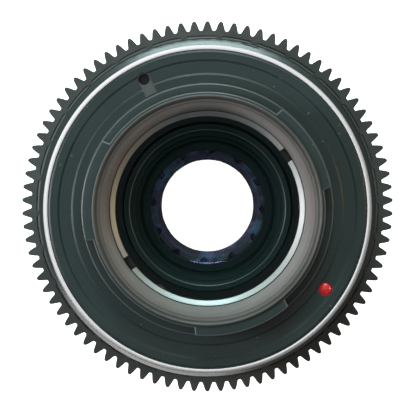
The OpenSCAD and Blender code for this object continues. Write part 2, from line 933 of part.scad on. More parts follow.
// One blade with its pivot pin below and its drive pin above
module iris_blade(i) {
    middle = drive_angle / 2;
    color(c_blade)
        rotate([0, 0, iris_phase + i * 360 / blade_count])
            translate([pivot_r, 0, 0])
                rotate([0, 0, blade_rest])
                    translate([-pivot_r, 0, 0])
                        union() {
                            translate([0, 0, iris_z])
                                rotate(a = blade_tilt, v = [cos(middle), sin(middle), 0])
                                    linear_extrude(blade_t)
                                        blade_outline();
                            translate([pivot_r, 0, plate_z0 + 0.2])
                                cylinder(r = pin_r, h = 1.4, $fn = 32);
                            translate([drive_r * cos(drive_angle), drive_r * sin(drive_angle), rotor_z1 - 2.3])
                                cylinder(r = pin_r, h = 2.2, $fn = 32);
                        }
}

front_barrel();
front_barrel_screws();
main_barrel();
index_ring();
index_ring_screws();
focus_stop_pin();
focus_thrust_ring();
mount_flange();
mount_set_screws();
index_bead();
throat_sleeve();
throat_ring();
focus_ring();
focus_grip();
focus_scale_ring();
focus_gear();
focus_cam();
focus_cam_screws();
iris_ring();
iris_bezel();
iris_arm();
iris_arm_screw();
lens_tube();
cam_followers();
front_retaining_ring();
front_element();
front_spacer();
second_element();
third_element();
third_element_ring();
iris_housing();
iris_retaining_ring();
rear_cell();
rear_cell_screws();
rear_element();
rear_cell_ring();
iris_rotor();
iris_drive_pin();
iris_blade(0);  // iris_blade_01
iris_blade(1);  // iris_blade_02
iris_blade(2);  // iris_blade_03
iris_blade(3);  // iris_blade_04
iris_blade(4);  // iris_blade_05
iris_blade(5);  // iris_blade_06
iris_blade(6);  // iris_blade_07
iris_blade(7);  // iris_blade_08
iris_blade(8);  // iris_blade_09
iris_blade(9);  // iris_blade_10
iris_blade(10);  // iris_blade_11
iris_blade(11);  // iris_blade_12
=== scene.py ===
"""Dresses a manual cinema prime lens that stands on its front rim, seen from the camera's side.

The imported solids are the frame. Solids whose shape is right keep it and get a finish, some with eased edges.
The gear, the grip, the bezel, the glass, the rear cell and the grey throat are modelled again with finer
edges, and the engraved scales, the gear's seat, the filter thread and the baffle ridges are added. Sizes are
in millimetres and scene units are metres.
"""

import json
import logging
import math
from abc import ABC, abstractmethod
from dataclasses import dataclass, field
from enum import Enum, IntEnum
from itertools import repeat
from typing import Any, Callable, Optional, Union

import bpy
from bpy.types import Material, MeshPolygon, Node, NodeSocket, Object
from mathutils import Matrix, Vector


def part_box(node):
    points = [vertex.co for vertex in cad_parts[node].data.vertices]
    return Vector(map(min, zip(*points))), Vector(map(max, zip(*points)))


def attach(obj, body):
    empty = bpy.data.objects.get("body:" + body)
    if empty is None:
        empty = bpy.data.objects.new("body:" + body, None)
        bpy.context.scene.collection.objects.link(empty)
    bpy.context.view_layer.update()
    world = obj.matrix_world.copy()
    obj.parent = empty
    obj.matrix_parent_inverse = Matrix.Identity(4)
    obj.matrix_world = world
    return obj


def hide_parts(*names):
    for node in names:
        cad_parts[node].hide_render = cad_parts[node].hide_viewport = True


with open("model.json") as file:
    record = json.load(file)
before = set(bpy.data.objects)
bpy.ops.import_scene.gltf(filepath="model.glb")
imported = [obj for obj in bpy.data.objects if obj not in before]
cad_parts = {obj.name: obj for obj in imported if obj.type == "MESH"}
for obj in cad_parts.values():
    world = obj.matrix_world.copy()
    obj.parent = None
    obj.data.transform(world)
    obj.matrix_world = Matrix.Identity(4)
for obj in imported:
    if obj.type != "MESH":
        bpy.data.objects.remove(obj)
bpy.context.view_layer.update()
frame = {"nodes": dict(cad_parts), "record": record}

LOG = logging.getLogger("lens")
# A millimetre, and how near two points or two heights count as one, in metres
MM = 0.001
MERGE = 1e-7
LEVEL = 1e-6
# Stands for a ruled line among the characters of a scale
LINE = "|"
Colour = tuple[float, float, float]
Point = tuple[float, float]
Points = tuple[Point, ...]
Place = tuple[float, float, float]
Number = Union[float, "Value"]
Mark = tuple[str, float, "Row"]


class Body(Enum):
    """Bodies of the mechanism that new pieces ride on."""

    BARREL = "barrel"
    FOCUS = "focus_ring"
    IRIS = "iris_ring"
    BLOCK = "optical_block"


class Slot(Enum):
    """Finishes named in the part's record."""

    BODY = "body_black"
    MOUNT = "mount_black"
    GEAR = "gear_black"
    INSIDE = "black_anodised"
    GRIP = "grip_rubber"
    BRASS = "brass"
    STEEL = "steel"
    BRIGHT = "bright_ring"
    BEZEL = "bright_bezel"
    THROAT = "grey_throat"
    BEAD = "red_bead"
    BLADE = "blade_steel"
    GLASS = "coated_glass"


class Extra(Enum):
    """Finishes that the record doesn't name."""

    WHITE = "white_scale_paint"
    AMBER = "amber_scale_paint"
    PAINTED = "glass_edge_paint"
    # Dye rubbed off along edges, lightened as a painted highlight on the edge lines
    WORN_AND_HIGHLIT = "worn_edge"
    CELL_PAINTED_LIGHT = "cell_outside_painted_light"
    SEAT_PAINTED_LIGHT = "gear_seat"
    VIOLET = "violet_coated_glass"


class EdgeSlot(IntEnum):
    """Material slots that an eased edge can take: that of the faces beside it, or that of rubbed dye with
    painted highlight.
    """

    SAME = -1
    WORN_AND_HIGHLIT = 1


class CellSlot(IntEnum):
    """Material slots of the rear cell."""

    INSIDE = 0
    # The outside's finish is lightened as painted light
    OUTSIDE = 1
    WORN_AND_HIGHLIT = 2


# Shader graphs

@dataclass(frozen=True)
class Value:
    """An output socket of a shader graph that takes part in Python arithmetic."""

    graph: "Graph"
    socket: NodeSocket

    def __add__(self, other: Number) -> "Value":
        """Adds a number or another value."""
        return self.graph.math("ADD", self, other)

    def __sub__(self, other: Number) -> "Value":
        """Takes away a number or another value."""
        return self.graph.math("SUBTRACT", self, other)

    def __mul__(self, other: Number) -> "Value":
        """Multiplies by a number or another value."""
        return self.graph.math("MULTIPLY", self, other)

    def above(self, limit: float, width: float) -> "Value":
        """Rises evenly from 0 to 1 over a width that starts at a limit."""
        return self.graph.math("MULTIPLY", self - limit, 1.0 / width, clamp=True)


class Graph:
    """One material's shader nodes."""

    def __init__(self, name: str) -> None:
        """Makes an empty material.

        Args:
            name: Name of the material.
        """
        self.material = bpy.data.materials.new(name)
        self.material.use_nodes = True
        self.tree = self.material.node_tree
        self.tree.nodes.clear()
        self.place = self.value("ShaderNodeTexCoord", output="Object")

    def node(self, kind: str, sockets: Optional[dict[Any, Any]] = None, **settings: Any) -> Node:
        """Adds a node.

        Args:
            kind: The node's type.
            sockets: Numbers, colours or links of its inputs, by name or number.
            settings: Its properties, which are set first.

        Returns:
            The new node.
        """
        made = self.tree.nodes.new(kind)
        for key, setting in settings.items():
            setattr(made, key, setting)
        for key, given in (sockets or {}).items():
            if isinstance(given, Value):
                self.tree.links.new(given.socket, made.inputs[key])
            else:
                made.inputs[key].default_value = (*given, 1.0) if isinstance(given, tuple) else given
        return made

    def value(self, kind: str, sockets: Optional[dict[Any, Any]] = None, output: Union[int, str] = 0,
              **settings: Any) -> Value:
        """Adds a node and gives one of its outputs."""
        return Value(self, self.node(kind, sockets, **settings).outputs[output])

    def math(self, operation: str, first: Number, second: Number = 0.0, clamp: bool = False) -> Value:
        """Adds a Math node, whose result can be held between 0 and 1."""
        return self.value("ShaderNodeMath", {0: first, 1: second}, operation=operation, use_clamp=clamp)

    def polar(self) -> tuple[Value, Value, Value]:
        """Reads the place on the piece about the optical axis.

        Returns:
            The distance from the axis, the angle round it and the height.
        """
        parts = self.node("ShaderNodeSeparateXYZ", {0: self.place})
        x, y, z = (Value(self, socket) for socket in parts.outputs)
        return self.math("SQRT", x * x + y * y), self.math("ARCTAN2", y, x), z

    def vector(self, x: Number, y: Number, z: Number) -> Value:
        """Joins three numbers into a vector."""
        return self.value("ShaderNodeCombineXYZ", {0: x, 1: y, 2: z})

    def noise(self, scale: float, detail: float = 2.0, at: Optional[Value] = None) -> Value:
        """Adds smooth noise about 0.5, by its features in a metre of the piece or of a given vector."""
        sockets = {"Vector": at or self.place, "Scale": scale, "Detail": detail, "Roughness": 0.6}
        return self.value("ShaderNodeTexNoise", sockets)

    def mix(self, share: Value, low: Union[Colour, Value], high: Union[Colour, Value]) -> Value:
        """Blends two colours by the share of the second."""
        # The node's colours are its inputs 6 and 7 and its output 2
        return self.value("ShaderNodeMix", {0: share, 6: low, 7: high}, output=2, data_type="RGBA")

    def bump(self, height: Value, strength: float, depth: float) -> Value:
        """Turns a height between 0 and 1 into a normal, with the depth of the relief in millimetres."""
        return self.value("ShaderNodeBump", {"Strength": strength, "Distance": depth * MM, "Height": height})

    def surface(self, sockets: dict[str, Any]) -> Material:
        """Ends the graph with a surface shader that has these inputs."""
        self.node("ShaderNodeOutputMaterial", {"Surface": self.value("ShaderNodeBsdfPrincipled", sockets)})
        return self.material


# Finishes

DUST: Colour = (0.34, 0.36, 0.35)
# Near black painted shade for notches and grooves that lie in shadow
PAINTED_SHADE: Colour = (0.003, 0.005, 0.005)
DARKER_TONE: Colour = (0.03, 0.036, 0.036)


@dataclass(frozen=True)
class Turned:
    """Metal turned on a lathe: fine rings round the axis, soft patches and a little dust.

    Attributes:
        dark: Colour in the valleys of the pattern.
        light: Colour on its crests.
        metallic: 1 for bare metal, 0 for a dyed or painted skin.
        roughness: Middle roughness.
        rings: Turned rings in a metre of radius or height.
        relief: Depth of the rings in millimetres.
        dust: Strength of the pale specks of dust.
        specular: Strength of the reflection of a dyed skin.
        shade_below: Height in millimetres under which painted shade turns the metal near black, or 0.
        darker_above: Heights in millimetres above which the colour is darker, each with its share.
        vary: Strength of the unevenness of the shine.
        tint: Colour of the reflection of a dyed skin.
        patches: Soft patches in a metre.
        grain: Grains in a metre.
        specks: Places in a metre where dust can lie.
    """

    dark: Colour
    light: Colour
    metallic: float = 0.0
    roughness: float = 0.4
    rings: float = 2600.0
    relief: float = 0.012
    dust: float = 0.3
    specular: float = 0.5
    shade_below: float = 0.0
    darker_above: Points = ()
    vary: float = 1.0
    tint: Colour = (1.0, 1.0, 1.0)
    patches: float = 85.0
    grain: float = 5200.0
    specks: float = 1400.0

    def make(self, graph: Graph) -> Material:
        """Builds the material.

        Args:
            graph: Its empty graph.

        Returns:
            The material.
        """
        radius, _, height = graph.polar()
        across = graph.vector(radius, height, 0.0)
        fine = graph.noise(self.rings, detail=3.0, at=across)
        broad = graph.noise(self.rings * 0.22, detail=1.0, at=across)
        patches = graph.noise(self.patches, detail=4.0)
        grain = graph.noise(self.grain)
        tone = graph.math("ADD", fine * 0.45 + broad * 0.35, patches * 0.55 - 0.2, clamp=True)
        specks = graph.noise(self.specks, detail=1.0).above(limit=0.765, width=0.03) * self.dust
        colour = graph.mix(specks, graph.mix(tone, self.dark, self.light), DUST)
        metallic: Number = self.metallic
        if self.shade_below:
            # Painted shade: below the height the colour turns near black and stops being metal
            bare = height.above(self.shade_below * MM, width=0.08 * MM)
            colour = graph.mix(bare, PAINTED_SHADE, colour)
            metallic = bare * self.metallic
        # Darker colour above each given height, by its share
        for limit, share in self.darker_above:
            colour = graph.mix(height.above(limit * MM, width=0.1 * MM) * share, colour, DARKER_TONE)
        uneven = (fine - 0.5) * 0.22 + (patches - 0.5) * 0.25 + (grain - 0.5) * 0.1
        rough = uneven * self.vary + self.roughness
        return graph.surface({
            "Base Color": colour, "Metallic": metallic, "Roughness": rough,
            "Specular IOR Level": self.specular, "Specular Tint": self.tint,
            "Normal": graph.bump(fine * 0.6 + broad * 0.6 + grain * 0.15, strength=0.6, depth=self.relief)})


@dataclass(frozen=True)
class Moulded:
    """Moulded plastic or rubber, with its grains and patches in a metre and its relief in millimetres."""

    dark: Colour
    light: Colour
    roughness: float = 0.5
    grain: float = 3200.0
    relief: float = 0.03
    patches: float = 240.0

    def make(self, graph: Graph) -> Material:
        """Builds the material.

        Args:
            graph: Its empty graph.

        Returns:
            The material.
        """
        fine = graph.noise(self.grain, detail=3.0)
        patches = graph.noise(self.patches, detail=3.0)
        tone = graph.math("ADD", fine * 0.5, patches * 0.9 - 0.2, clamp=True)
        rough = (fine - 0.5) * 0.3 + (patches - 0.5) * 0.2 + self.roughness
        return graph.surface({
            "Base Color": graph.mix(tone, self.dark, self.light), "Roughness": rough,
            "Specular IOR Level": 0.45, "Normal": graph.bump(fine, strength=0.7, depth=self.relief)})


@dataclass(frozen=True)
class Blades:
    """Blackened steel with brush marks and blue tempering that changes from blade to blade, lightened as
    painted light.
    """

    # These colours are lighter than the steel's own, as painted light for blades that little light reaches
    dark: Colour = (0.028, 0.05, 0.06)
    blue: Colour = (0.05, 0.19, 0.33)
    brushed: Colour = (0.05, 0.085, 0.095)

    def make(self, graph: Graph) -> Material:
        """Builds the material.

        Args:
            graph: Its empty graph.

        Returns:
            The material.
        """
        radius, angle, _ = graph.polar()
        clouds = graph.noise(scale=1.0, at=graph.vector(angle * 2.6, radius * 260.0, 0.3))
        patches = clouds.above(limit=0.5, width=0.12)
        marks = graph.noise(scale=1.0, at=graph.vector(angle * 30.0, radius * 5200.0, 0.0))
        cold = graph.mix(patches, self.dark, self.blue)
        return graph.surface({
            "Base Color": graph.mix(marks * 0.5, cold, self.brushed), "Metallic": 0.5,
            "Roughness": marks * 0.25 + 0.32, "Normal": graph.bump(marks, strength=0.4, depth=0.004)})


@dataclass(frozen=True)
class Enamel:
    """Glossy or matt paint with slight unevenness, under a clear coat of some weight."""

    dark: Colour
    light: Colour
    roughness: float
    coat: float = 0.0

    def make(self, graph: Graph) -> Material:
        """Builds the material in its empty graph."""
        uneven = graph.noise(scale=900.0, detail=3.0)
        return graph.surface({
            "Base Color": graph.mix(uneven.above(limit=0.3, width=0.4), self.dark, self.light),
            "Roughness": (uneven - 0.5) * 0.2 + self.roughness, "Coat Weight": self.coat,
            "Normal": graph.bump(uneven, strength=0.25, depth=0.02)})


@dataclass(frozen=True)
class CoatedGlass:
    """Optical glass that tints what passes, and whose coating leaves a weak blue or violet sheen."""

    tint: Colour = (0.97, 0.985, 0.99)
    sheen: Colour = (0.36, 0.5, 0.95)
    index: float = 1.52

    def make(self, graph: Graph) -> Material:
        """Builds the material in its empty graph."""
        film = graph.noise(scale=120.0)
        return graph.surface({
            "Base Color": graph.mix(film, self.tint, (1.0, 1.0, 1.0)), "Roughness": 0.0,
            "IOR": self.index, "Transmission Weight": 1.0, "Specular IOR Level": 0.3,
            "Specular Tint": self.sheen})


Skin = Union[Slot, Extra]
FINISHES: dict[Skin, Union[Turned, Moulded, Blades, Enamel, CoatedGlass]] = {
    Slot.BODY: Turned((0.01, 0.018, 0.018), (0.036, 0.055, 0.055), roughness=0.45, specular=0.35),
    Slot.MOUNT: Turned((0.008, 0.017, 0.017), (0.025, 0.044, 0.044), roughness=0.42, relief=0.016,
                       specular=0.32),
    Slot.GEAR: Moulded((0.018, 0.0225, 0.0215), (0.066, 0.077, 0.075), relief=0.045),
    Slot.INSIDE: Turned((0.001, 0.003, 0.003), (0.003, 0.01, 0.01), roughness=0.55, dust=0.12, specular=0.35,
                        tint=(0.55, 1.0, 1.0)),
    Slot.GRIP: Moulded((0.008, 0.009, 0.009), (0.03, 0.033, 0.033), roughness=0.68, grain=2600.0),
    Slot.BRASS: Turned((0.16, 0.09, 0.045), (0.46, 0.3, 0.15), metallic=1.0, roughness=0.34),
    Slot.STEEL: Turned((0.16, 0.16, 0.155), (0.36, 0.36, 0.35), metallic=1.0, roughness=0.36),
    # Painted shade turns the bright ring near black below 63.8 mm, under its sloped face, where its notches
    # lie
    Slot.BRIGHT: Turned((0.26, 0.28, 0.28), (0.44, 0.46, 0.46), metallic=1.0, roughness=0.52, relief=0.006,
                        dust=0.1, shade_below=63.8),
    Slot.BEZEL: Turned((0.82, 0.82, 0.83), (0.95, 0.95, 0.96), metallic=1.0, roughness=0.28, relief=0.0003,
                       dust=0.0, vary=0.2),
    # Painted shade turns the grey throat near black below 65.4 mm, in the groove at its foot
    Slot.THROAT: Turned((0.29, 0.272, 0.26), (0.68, 0.635, 0.61), metallic=0.6, roughness=0.46, rings=3400.0,
                        # The throat's colour is darker above 70.4, 74.0 and 76.8 mm
                        relief=0.014, shade_below=65.4, darker_above=((70.4, 0.22), (74.0, 0.5), (76.8, 0.6))),
    Slot.BEAD: Enamel((0.62, 0.016, 0.02), (0.9, 0.035, 0.04), roughness=0.34, coat=0.25),
    Slot.BLADE: Blades(),
    Slot.GLASS: CoatedGlass(),
    Extra.WHITE: Enamel((0.62, 0.62, 0.6), (0.82, 0.82, 0.8), roughness=0.5),
    Extra.AMBER: Enamel((0.62, 0.3, 0.04), (0.85, 0.46, 0.08), roughness=0.5),
    Extra.PAINTED: Enamel((0.004, 0.004, 0.005), (0.012, 0.012, 0.013), roughness=0.7),
    # Rubbed dye along edges, lighter and glossier, partly a painted highlight
    Extra.WORN_AND_HIGHLIT: Turned((0.038, 0.045, 0.045), (0.09, 0.105, 0.105), roughness=0.36, relief=0.004, dust=0.0,
                       specular=0.85, tint=(0.96, 1.0, 1.0)),
    # Painted light: the rear cell's outside is dyed far lighter than its inside, for light that hardly reaches
    # it
    Extra.CELL_PAINTED_LIGHT: Turned((0.036, 0.08, 0.08), (0.09, 0.18, 0.18), roughness=0.5, dust=0.1),
    Extra.VIOLET: CoatedGlass(sheen=(0.45, 0.34, 1.0)),
    # Painted light: the gear's seat is dyed lighter than the body, for light that barely reaches it in the
    # gear's bore
    Extra.SEAT_PAINTED_LIGHT: Turned((0.032, 0.037, 0.037), (0.09, 0.096, 0.096), roughness=0.5, dust=0.1, specular=0.3),
}


class Palette:
    """All materials, each made once and named after its finish."""

    def __init__(self) -> None:
        """Makes every finish."""
        self.made = {skin: finish.make(Graph(skin.value)) for skin, finish in FINISHES.items()}

    def dress(self, piece: Object, *skins: Skin) -> None:
        """Puts materials into a piece's slots.

        Args:
            piece: The object to dress.
            skins: Its finishes in slot order.
        """
        for number, skin in enumerate(skins):
            if number < len(piece.material_slots):
                piece.material_slots[number].material = self.made[skin]
            else:
                piece.data.materials.append(self.made[skin])


# Modelling by operators

def only(*pieces: Object) -> None:
    """Leaves edit mode, selects these objects alone and makes the first one active.

    Args:
        pieces: The objects, or none.
    """
    if bpy.context.object and bpy.context.object.mode != "OBJECT":
        bpy.ops.object.mode_set(mode="OBJECT")
    bpy.ops.object.select_all(action="DESELECT")
    for piece in pieces:
        piece.select_set(True)
    if pieces:
        bpy.context.view_layer.objects.active = pieces[0]


def edit(piece: Object) -> None:
    """Enters edit mode on one object with all of its mesh selected.

    Args:
        piece: The object.
    """
    only(piece)
    bpy.ops.object.mode_set(mode="EDIT")
    bpy.ops.mesh.select_all(action="SELECT")


def join(pieces: list[Object], name: str) -> Object:
    """Joins objects into the first one.

    Args:
        pieces: The objects.
        name: Name of the result.

    Returns:
        The joined object.
    """
    only(*pieces)
    bpy.ops.object.join()
    piece = bpy.context.object
    piece.name = name
    piece.data.name = name
    return piece


def tidy_mesh(piece: Object, angle: float = 35.0) -> Object:
    """Merges doubles, turns all faces outwards and smooths shallow edges.

    Args:
        piece: The object.
        angle: Edges below this many degrees are smooth.

    Returns:
        The same object.
    """
    edit(piece)
    bpy.ops.mesh.remove_doubles(threshold=MERGE)
    bpy.ops.mesh.delete_loose()
    bpy.ops.mesh.select_all(action="SELECT")
    bpy.ops.mesh.normals_make_consistent(inside=False)
    bpy.ops.object.mode_set(mode="OBJECT")
    bpy.ops.object.shade_smooth_by_angle(angle=math.radians(angle))
    return piece


def loop(points: list[Place], name: str) -> Object:
    """Adds a closed loop of edges.

    Args:
        points: Its points in millimetres.
        name: Name of the object.

    Returns:
        The loop.
    """
    only()
    bpy.ops.mesh.primitive_circle_add(vertices=len(points), radius=MM, fill_type="NOTHING",
                                      location=(0, 0, 0))
    piece = bpy.context.object
    piece.name = name
    for vertex, point in zip(piece.data.vertices, points):
        vertex.co = Vector(point) * MM
    return piece


def lathe(name: str, section: list[Point], steps: int = 192, angle: float = 35.0) -> Object:
    """Spins a closed section about the optical axis.

    Args:
        name: Name of the object.
        section: Points as radius and height, in millimetres.
        steps: Segments in a full turn.
        angle: Edges below this many degrees are smooth.

    Returns:
        The turned piece.
    """
    piece = loop([(radius, 0.0, height) for radius, height in section], name)
    edit(piece)
    bpy.ops.mesh.spin(steps=steps, angle=math.tau, center=(0, 0, 0), axis=(0, 0, 1))
    return tidy_mesh(piece, angle)


def eased(section: list[Point], size: float, steps: int = 3, share_of_side: float = 0.45) -> list[Point]:
    """Rounds the corners of a section.

    Args:
        section: Closed section as radius and height, in millimetres.
        size: Distance from a corner at which its rounding starts.
        steps: Points in each rounding, less one.
        share_of_side: Largest share of a side that one rounding takes.

    Returns:
        The rounded section.
    """
    made: list[Point] = []
    for number, corner in enumerate(section):
        here = Vector(corner)
        before, after = (Vector(section[(number + step) % len(section)]) - here for step in (-1, 1))
        start = here + before.normalized() * min(size, before.length * share_of_side)
        end = here + after.normalized() * min(size, after.length * share_of_side)
        for step in range(steps + 1):
            share = step / steps
            spot = start * (1 - share) ** 2 + here * (2 * share * (1 - share)) + end * share ** 2
            made.append((spot.x, spot.y))
    return made


def ridges(start: Point, end: Point, count: int, height: float, crest: float = 0.35) -> list[Point]:
    """Lays saw-tooth ridges along a straight line of a section.

    Args:
        start: Where the line begins, as radius and height.
        end: Where it ends.
        count: Number of ridges.
        height: How far they stand to the left of the line.
        crest: Where a ridge is highest, as a share of its length.

    Returns:
        The points of the ridges.
    """
    first, last = Vector(start), Vector(end)
    run = last - first
    side = Vector((-run.y, run.x)).normalized() * height
    made: list[Point] = []
    for number in range(count):
        low = first + run * (number / count)
        high = first + run * ((number + crest) / count) + side
        made += [(low.x, low.y), (high.x, high.y)]
    made.append((last.x, last.y))
    return made


def bevel_box(size: Vector, edge: float, segments: int, name: str) -> Object:
    """Makes a block with rounded edges at the origin.

    Args:
        size: Its size in millimetres.
        edge: Width of the rounding in millimetres.
        segments: Segments of the rounding.
        name: Name of the object.

    Returns:
        The block.
    """
    only()
    bpy.ops.mesh.primitive_cube_add(size=MM, location=(0, 0, 0))
    piece = bpy.context.object
    piece.name = name
    edit(piece)
    bpy.ops.transform.resize(value=size)
    bpy.ops.mesh.bevel(offset=edge * MM, segments=segments, affect="EDGES")
    return tidy_mesh(piece, angle=50.0)


def choose_edges(piece: Object, wanted: Callable[[Vector, Vector], bool]) -> None:
    """Selects edges by the places of their ends and enters edit mode.

    Args:
        piece: The object.
        wanted: Says whether an edge between two points is chosen.
    """
    only(piece)
    mesh = piece.data
    for part in (mesh.vertices, mesh.edges, mesh.polygons):
        part.foreach_set("select", [False] * len(part))
    for edge in mesh.edges:
        one, two = (mesh.vertices[number] for number in edge.vertices)
        if wanted(one.co, two.co):
            edge.select = one.select = two.select = True
    bpy.context.tool_settings.mesh_select_mode = (False, True, False)
    bpy.ops.object.mode_set(mode="EDIT")


# Sub-assemblies

def heights(node: str) -> Point:
    """Gives the lowest and highest point of a solid in millimetres."""
    low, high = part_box(node)
    return round(low.z / MM, 3), round(high.z / MM, 3)


@dataclass
class SubAssembly(ABC):
    """Pieces that belong together on the lens, dressed from a palette."""

    palette: Palette
    made: list[Object] = field(default_factory=list, init=False)

    @abstractmethod
    def build(self) -> None:
        """Models and dresses the pieces."""

    def add(self, piece: Object, body: Body, slot: Slot, replaces: str = "",
            skins: tuple[Skin, ...] = ()) -> None:
        """Dresses a piece and hands it to the mechanism.

        Args:
            piece: The piece.
            body: The body it rides on.
            slot: The record's finish that it takes.
            replaces: The solid that it stands for, where there is one.
            skins: Its finishes, where they aren't that of its slot alone.
        """
        self.palette.dress(piece, *(skins or (slot,)))
        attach(piece, body.value)
        if replaces:
            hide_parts(replaces)
        self.made.append(piece)

    def report(self) -> None:
        """Logs each piece with its number of faces."""
        for piece in self.made:
            LOG.info("%s: %s, %d faces", type(self).__name__, piece.name, len(piece.data.polygons))


@dataclass
class Solids(SubAssembly):
    """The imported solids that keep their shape."""

    tempered: tuple[str, ...] = ("iris_rotor",)

    def build(self) -> None:
        """Gives each solid the finish that the record names for it, and the rotor that of its blades."""
        for part in frame["record"]["subparts"]:
            slot = Slot.BLADE if part["node"] in self.tempered else Slot(part["material_slot"])
            self.palette.dress(frame["nodes"][part["node"]], slot)
            LOG.info("solid %s: %s", part["node"], slot.value)


@dataclass(frozen=True)
class Easing:
    """How wide the edges of one solid are eased, and whether they take rubbed dye with a painted highlight."""

    node: str
    body: Body
    slot: Slot
    width: float = 0.12
    worn_and_highlit: bool = True


@dataclass
class EasedSolids(SubAssembly):
    """Solids that keep their shape but get eased edges that catch the light."""

    easings: tuple[Easing, ...] = (
        Easing("index_ring", Body.BARREL, Slot.BODY),
        Easing("front_barrel", Body.BARREL, Slot.BODY, width=0.18),
        Easing("focus_scale_ring", Body.FOCUS, Slot.BODY),
        Easing("iris_ring", Body.IRIS, Slot.BODY),
        Easing("throat_ring", Body.BARREL, Slot.BRIGHT, width=0.06, worn_and_highlit=False),
        Easing("rear_cell_ring", Body.BLOCK, Slot.INSIDE, width=0.08, worn_and_highlit=False),
        Easing("front_retaining_ring", Body.BLOCK, Slot.INSIDE, width=0.1, worn_and_highlit=False))
    sharp_angle: float = 32.0
    flat_angle: float = 0.3
    smooth_angle: float = 12.0
    segments: int = 3

    def prepare(self, piece: Object) -> None:
        """Shapes a merged copy before its sharp edges are eased, where a solid needs that."""

    def ease(self, easing: Easing) -> Object:
        """Copies a solid's mesh, dresses it, merges its flat faces and bevels its sharp edges.

        Args:
            easing: The solid, its finish and the width of its edges.

        Returns:
            The eased copy.
        """
        solid = frame["nodes"][easing.node]
        mesh = solid.data.copy()
        mesh.transform(solid.matrix_world)
        piece = bpy.data.objects.new(f"{easing.node}_eased", mesh)
        bpy.context.collection.objects.link(piece)
        self.palette.dress(piece, easing.slot, Extra.WORN_AND_HIGHLIT if easing.worn_and_highlit else easing.slot)
        only(piece)
        bpy.ops.mesh.customdata_custom_splitnormals_clear()
        edit(piece)
        bpy.ops.mesh.remove_doubles(threshold=MERGE)
        bpy.ops.mesh.dissolve_limited(angle_limit=math.radians(self.flat_angle))
        bpy.ops.object.mode_set(mode="OBJECT")
        self.prepare(piece)
        bpy.ops.object.modifier_add(type="BEVEL")
        bevel = piece.modifiers[-1]
        bevel.limit_method = "ANGLE"
        bevel.angle_limit = math.radians(self.sharp_angle)
        bevel.width = easing.width * MM
        bevel.segments = self.segments
        bevel.use_clamp_overlap = False
        bevel.material = EdgeSlot.WORN_AND_HIGHLIT if easing.worn_and_highlit else EdgeSlot.SAME
        bpy.ops.object.modifier_apply(modifier=bevel.name)
        return tidy_mesh(piece, self.smooth_angle)

    def build(self) -> None:
        """Eases and dresses each solid."""
        for easing in self.easings:
            self.add(self.ease(easing), easing.body, easing.slot, easing.node)


@dataclass
class Mount(EasedSolids):
    """Bayonet mount with rounded rims, whose rims and lock slot floor take the lighter finish of rubbed dye
    and painted highlight.
    """

    easings: tuple[Easing, ...] = (Easing("mount_flange", Body.BARREL, Slot.MOUNT, width=0.045),)
    top: float = heights("mount_flange")[1]
    tube: float = 21.4
    collar: Point = (23.0, 73.2)
    rim_width: float = 0.28
    rim_segments: int = 4
    slot_floor: float = 70.9
    floor_normal: float = 0.9
    slack: float = 0.03

    def on_rim(self, spot: Vector) -> bool:
        """Says whether a point lies on the rim of the tube, a lug or the locating collar.

        Args:
            spot: The point in metres.

        Returns:
            Whether it does.
        """
        radius, height = spot.xy.length / MM, spot.z / MM
        at_top = abs(height - self.top) < self.slack and radius > self.tube - self.slack
        at_collar = abs(height - self.collar[1]) < self.slack and abs(radius - self.collar[0]) < self.slack
        return at_top or at_collar

    def prepare(self, piece: Object) -> None:
        """Rounds the rims and gives the slot's floor the worn finish.

        Args:
            piece: The merged copy.
        """
        for face in piece.data.polygons:
            deep = abs(face.center.z / MM - self.slot_floor) < self.slack
            if deep and face.normal.z > self.floor_normal:
                face.material_index = EdgeSlot.WORN_AND_HIGHLIT
        choose_edges(piece, lambda one, two: self.on_rim(one) and self.on_rim(two))
        bpy.ops.mesh.bevel(offset=self.rim_width * MM, segments=self.rim_segments, affect="EDGES",
                           clamp_overlap=False, material=EdgeSlot.WORN_AND_HIGHLIT)
        bpy.ops.object.mode_set(mode="OBJECT")


@dataclass
class Bezel(SubAssembly):
    """Polished bezel of the aperture ring with a shallow crown."""

    span: Point = heights("iris_bezel")
    inner: float = 29.08
    outer: float = 30.0
    face: Point = (29.2, 29.96)
    edge_drops: Point = (0.28, 0.1)
    apex: float = 29.5
    crown_radius: float = 2.4
    steps: int = 10

    def build(self) -> None:
        """Turns the crowned ring."""
        low, top = self.span
        first, last = self.face
        radii = [first + (last - first) * step / self.steps for step in range(self.steps + 1)]
        section = [(self.inner, low), (self.inner, top - self.edge_drops[0])]
        crown = self.crown_radius
        section += [(r, top - crown + math.sqrt(crown ** 2 - (r - self.apex) ** 2)) for r in radii]
        section += [(self.outer, top - self.edge_drops[1]), (self.outer, low)]
        ring = lathe("iris_bezel_turned", section, angle=25.0)
        self.add(ring, Body.IRIS, Slot.BEZEL, "iris_bezel")


